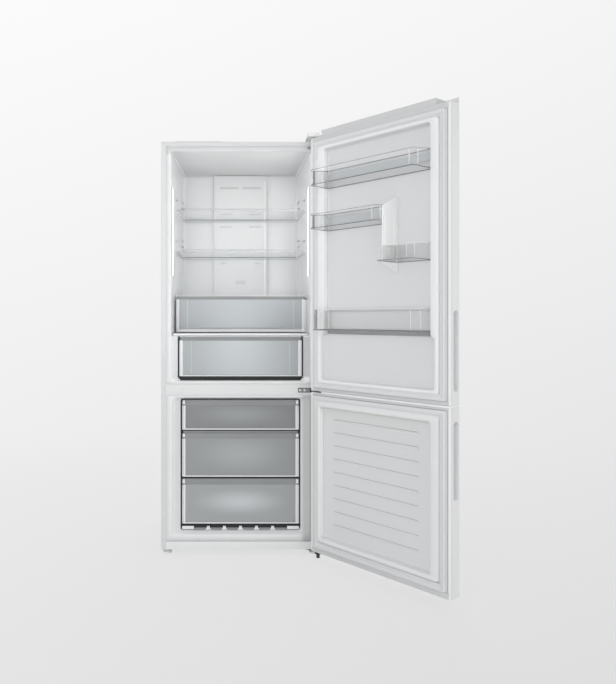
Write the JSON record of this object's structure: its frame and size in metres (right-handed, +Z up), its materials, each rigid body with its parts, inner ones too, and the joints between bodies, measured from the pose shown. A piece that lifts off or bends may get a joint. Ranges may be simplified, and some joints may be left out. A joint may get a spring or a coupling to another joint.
{
  "type": "bottom freezer refrigerator",
  "caption": "Upright two-door refrigerator with the freezer below: glass shelves, drawers, door bins, right-hand hinges, recessed side grips, rear machine niche with compressor",
  "frame": {"origin": "on the floor at the centre of the four feet", "axes": "+Z up, -Y towards the user in front of the doors, +X to the right seen from the front, the hinge side"},
  "size_m": [1.1429, 1.2051, 1.848],
  "materials": {
    "white_steel": "fine gloss paint",
    "liner_white": "smooth formed sheet",
    "trim_white": "satin moulded",
    "cap_grey": "satin moulded",
    "gasket_white": "matte soft seal",
    "drawer_clear": "tinted clear moulding",
    "bin_clear": "clear moulding",
    "shelf_glass": "toughened, polished",
    "lamp_white": "diffusing cover",
    "foam": "rigid foam",
    "zinc_steel": "zinc coated",
    "hinge_steel": "dark coated",
    "screw_steel": "plated",
    "black_steel": "black paint",
    "black_rubber": "matte",
    "foot_plastic": "moulded",
    "black_plastic": "moulded",
    "bare_aluminium": "mill finish",
    "copper_pipe": "drawn tube"
  },
  "bodies": {
    "cabinet": {"air_duct_cover": "trim_white", "base_plate": "zinc_steel", "blanking_caps": "trim_white", "bottom_hinge_bracket": "hinge_steel", "cabinet_insulation": "foam", "compressor": "black_steel", "compressor_grommets": "black_rubber", "condenser": "black_steel", "control_box_cover": "trim_white", "crisper_glass_shelf": "shelf_glass", "defrost_heater": "bare_aluminium", "divider_trim": "trim_white", "drip_tray": "black_plastic", "evaporator": "bare_aluminium", "evaporator_cover": "trim_white", "fan_motor": "black_plastic", "freezer_air_grille": "trim_white", "freezer_liner": "liner_white", "freezer_shelves": "shelf_glass", "fridge_liner": "liner_white", "glass_shelves": "shelf_glass", "hinge_screws": "screw_steel", "kick_rail": "trim_white", "light_strips": "lamp_white", "middle_hinge_bracket": "hinge_steel", "power_inlet": "black_plastic", "rear_feet": "foot_plastic", "rear_panel": "zinc_steel", "refrigerant_pipes": "copper_pipe", "shelf_trims": "trim_white", "side_panel_left": "white_steel", "side_panel_right": "white_steel", "top_hinge_bracket": "hinge_steel", "top_hinge_cover": "trim_white", "top_panel": "white_steel"},
    "levelling_foot_left": {"levelling_foot_left": "foot_plastic"},
    "levelling_foot_right": {"levelling_foot_right": "foot_plastic"},
    "fan": {"fan_blade": "black_plastic"},
    "chiller_drawer": {"chiller_drawer": "drawer_clear"},
    "crisper_drawer": {"crisper_drawer": "drawer_clear"},
    "freezer_drawer_top": {"freezer_drawer_top": "drawer_clear"},
    "freezer_drawer_middle": {"freezer_drawer_middle": "drawer_clear"},
    "freezer_drawer_bottom": {"freezer_drawer_bottom": "drawer_clear"},
    "fridge_door": {"fridge_door_caps": "cap_grey", "fridge_door_gasket": "gasket_white", "fridge_door_grip": "cap_grey", "fridge_door_insulation": "foam", "fridge_door_liner": "liner_white", "fridge_door_skin": "white_steel", "top_door_bin": "bin_clear", "left_door_bin": "bin_clear", "right_door_bin": "bin_clear", "bottle_door_bin": "bin_clear", "bin_divider": "trim_white"},
    "freezer_door": {"freezer_door_caps": "cap_grey", "freezer_door_gasket": "gasket_white", "freezer_door_grip": "cap_grey", "freezer_door_insulation": "foam", "freezer_door_liner": "liner_white", "freezer_door_skin": "white_steel"}
  },
  "joints": [
    {"name": "fridge_door_hinge", "type": "hinge", "parent": "cabinet", "child": "fridge_door", "pos_m": [0.3375, -0.348, 0.732], "axis": [0, 0, 1], "range_deg": [-129.5, 3]},
    {"name": "freezer_door_hinge", "type": "hinge", "parent": "cabinet", "child": "freezer_door", "pos_m": [0.3375, -0.348, 0.038], "axis": [0, 0, 1], "range_deg": [-129.5, 3]},
    {"name": "chiller_drawer_slide", "type": "slide", "parent": "cabinet", "child": "chiller_drawer", "axis": [0, -1, 0], "range_m": [0, 0.3]},
    {"name": "crisper_drawer_slide", "type": "slide", "parent": "cabinet", "child": "crisper_drawer", "axis": [0, -1, 0], "range_m": [0, 0.33]},
    {"name": "freezer_drawer_top_slide", "type": "slide", "parent": "cabinet", "child": "freezer_drawer_top", "axis": [0, -1, 0], "range_m": [0, 0.3]},
    {"name": "freezer_drawer_middle_slide", "type": "slide", "parent": "cabinet", "child": "freezer_drawer_middle", "axis": [0, -1, 0], "range_m": [0, 0.3]},
    {"name": "freezer_drawer_bottom_slide", "type": "slide", "parent": "cabinet", "child": "freezer_drawer_bottom", "axis": [0, -1, 0], "range_m": [0, 0.24]},
    {"name": "fan_spin", "type": "hinge", "parent": "cabinet", "child": "fan", "pos_m": [0, 0.151, 0.606], "axis": [0, 1, 0], "continuous": true},
    {"name": "levelling_foot_left_turn", "type": "hinge", "parent": "cabinet", "child": "levelling_foot_left", "pos_m": [-0.326, -0.265, 0], "axis": [0, 0, 1], "continuous": true},
    {"name": "levelling_foot_right_turn", "type": "hinge", "parent": "cabinet", "child": "levelling_foot_right", "pos_m": [0.326, -0.265, 0], "axis": [0, 0, 1], "continuous": true}
  ]
}
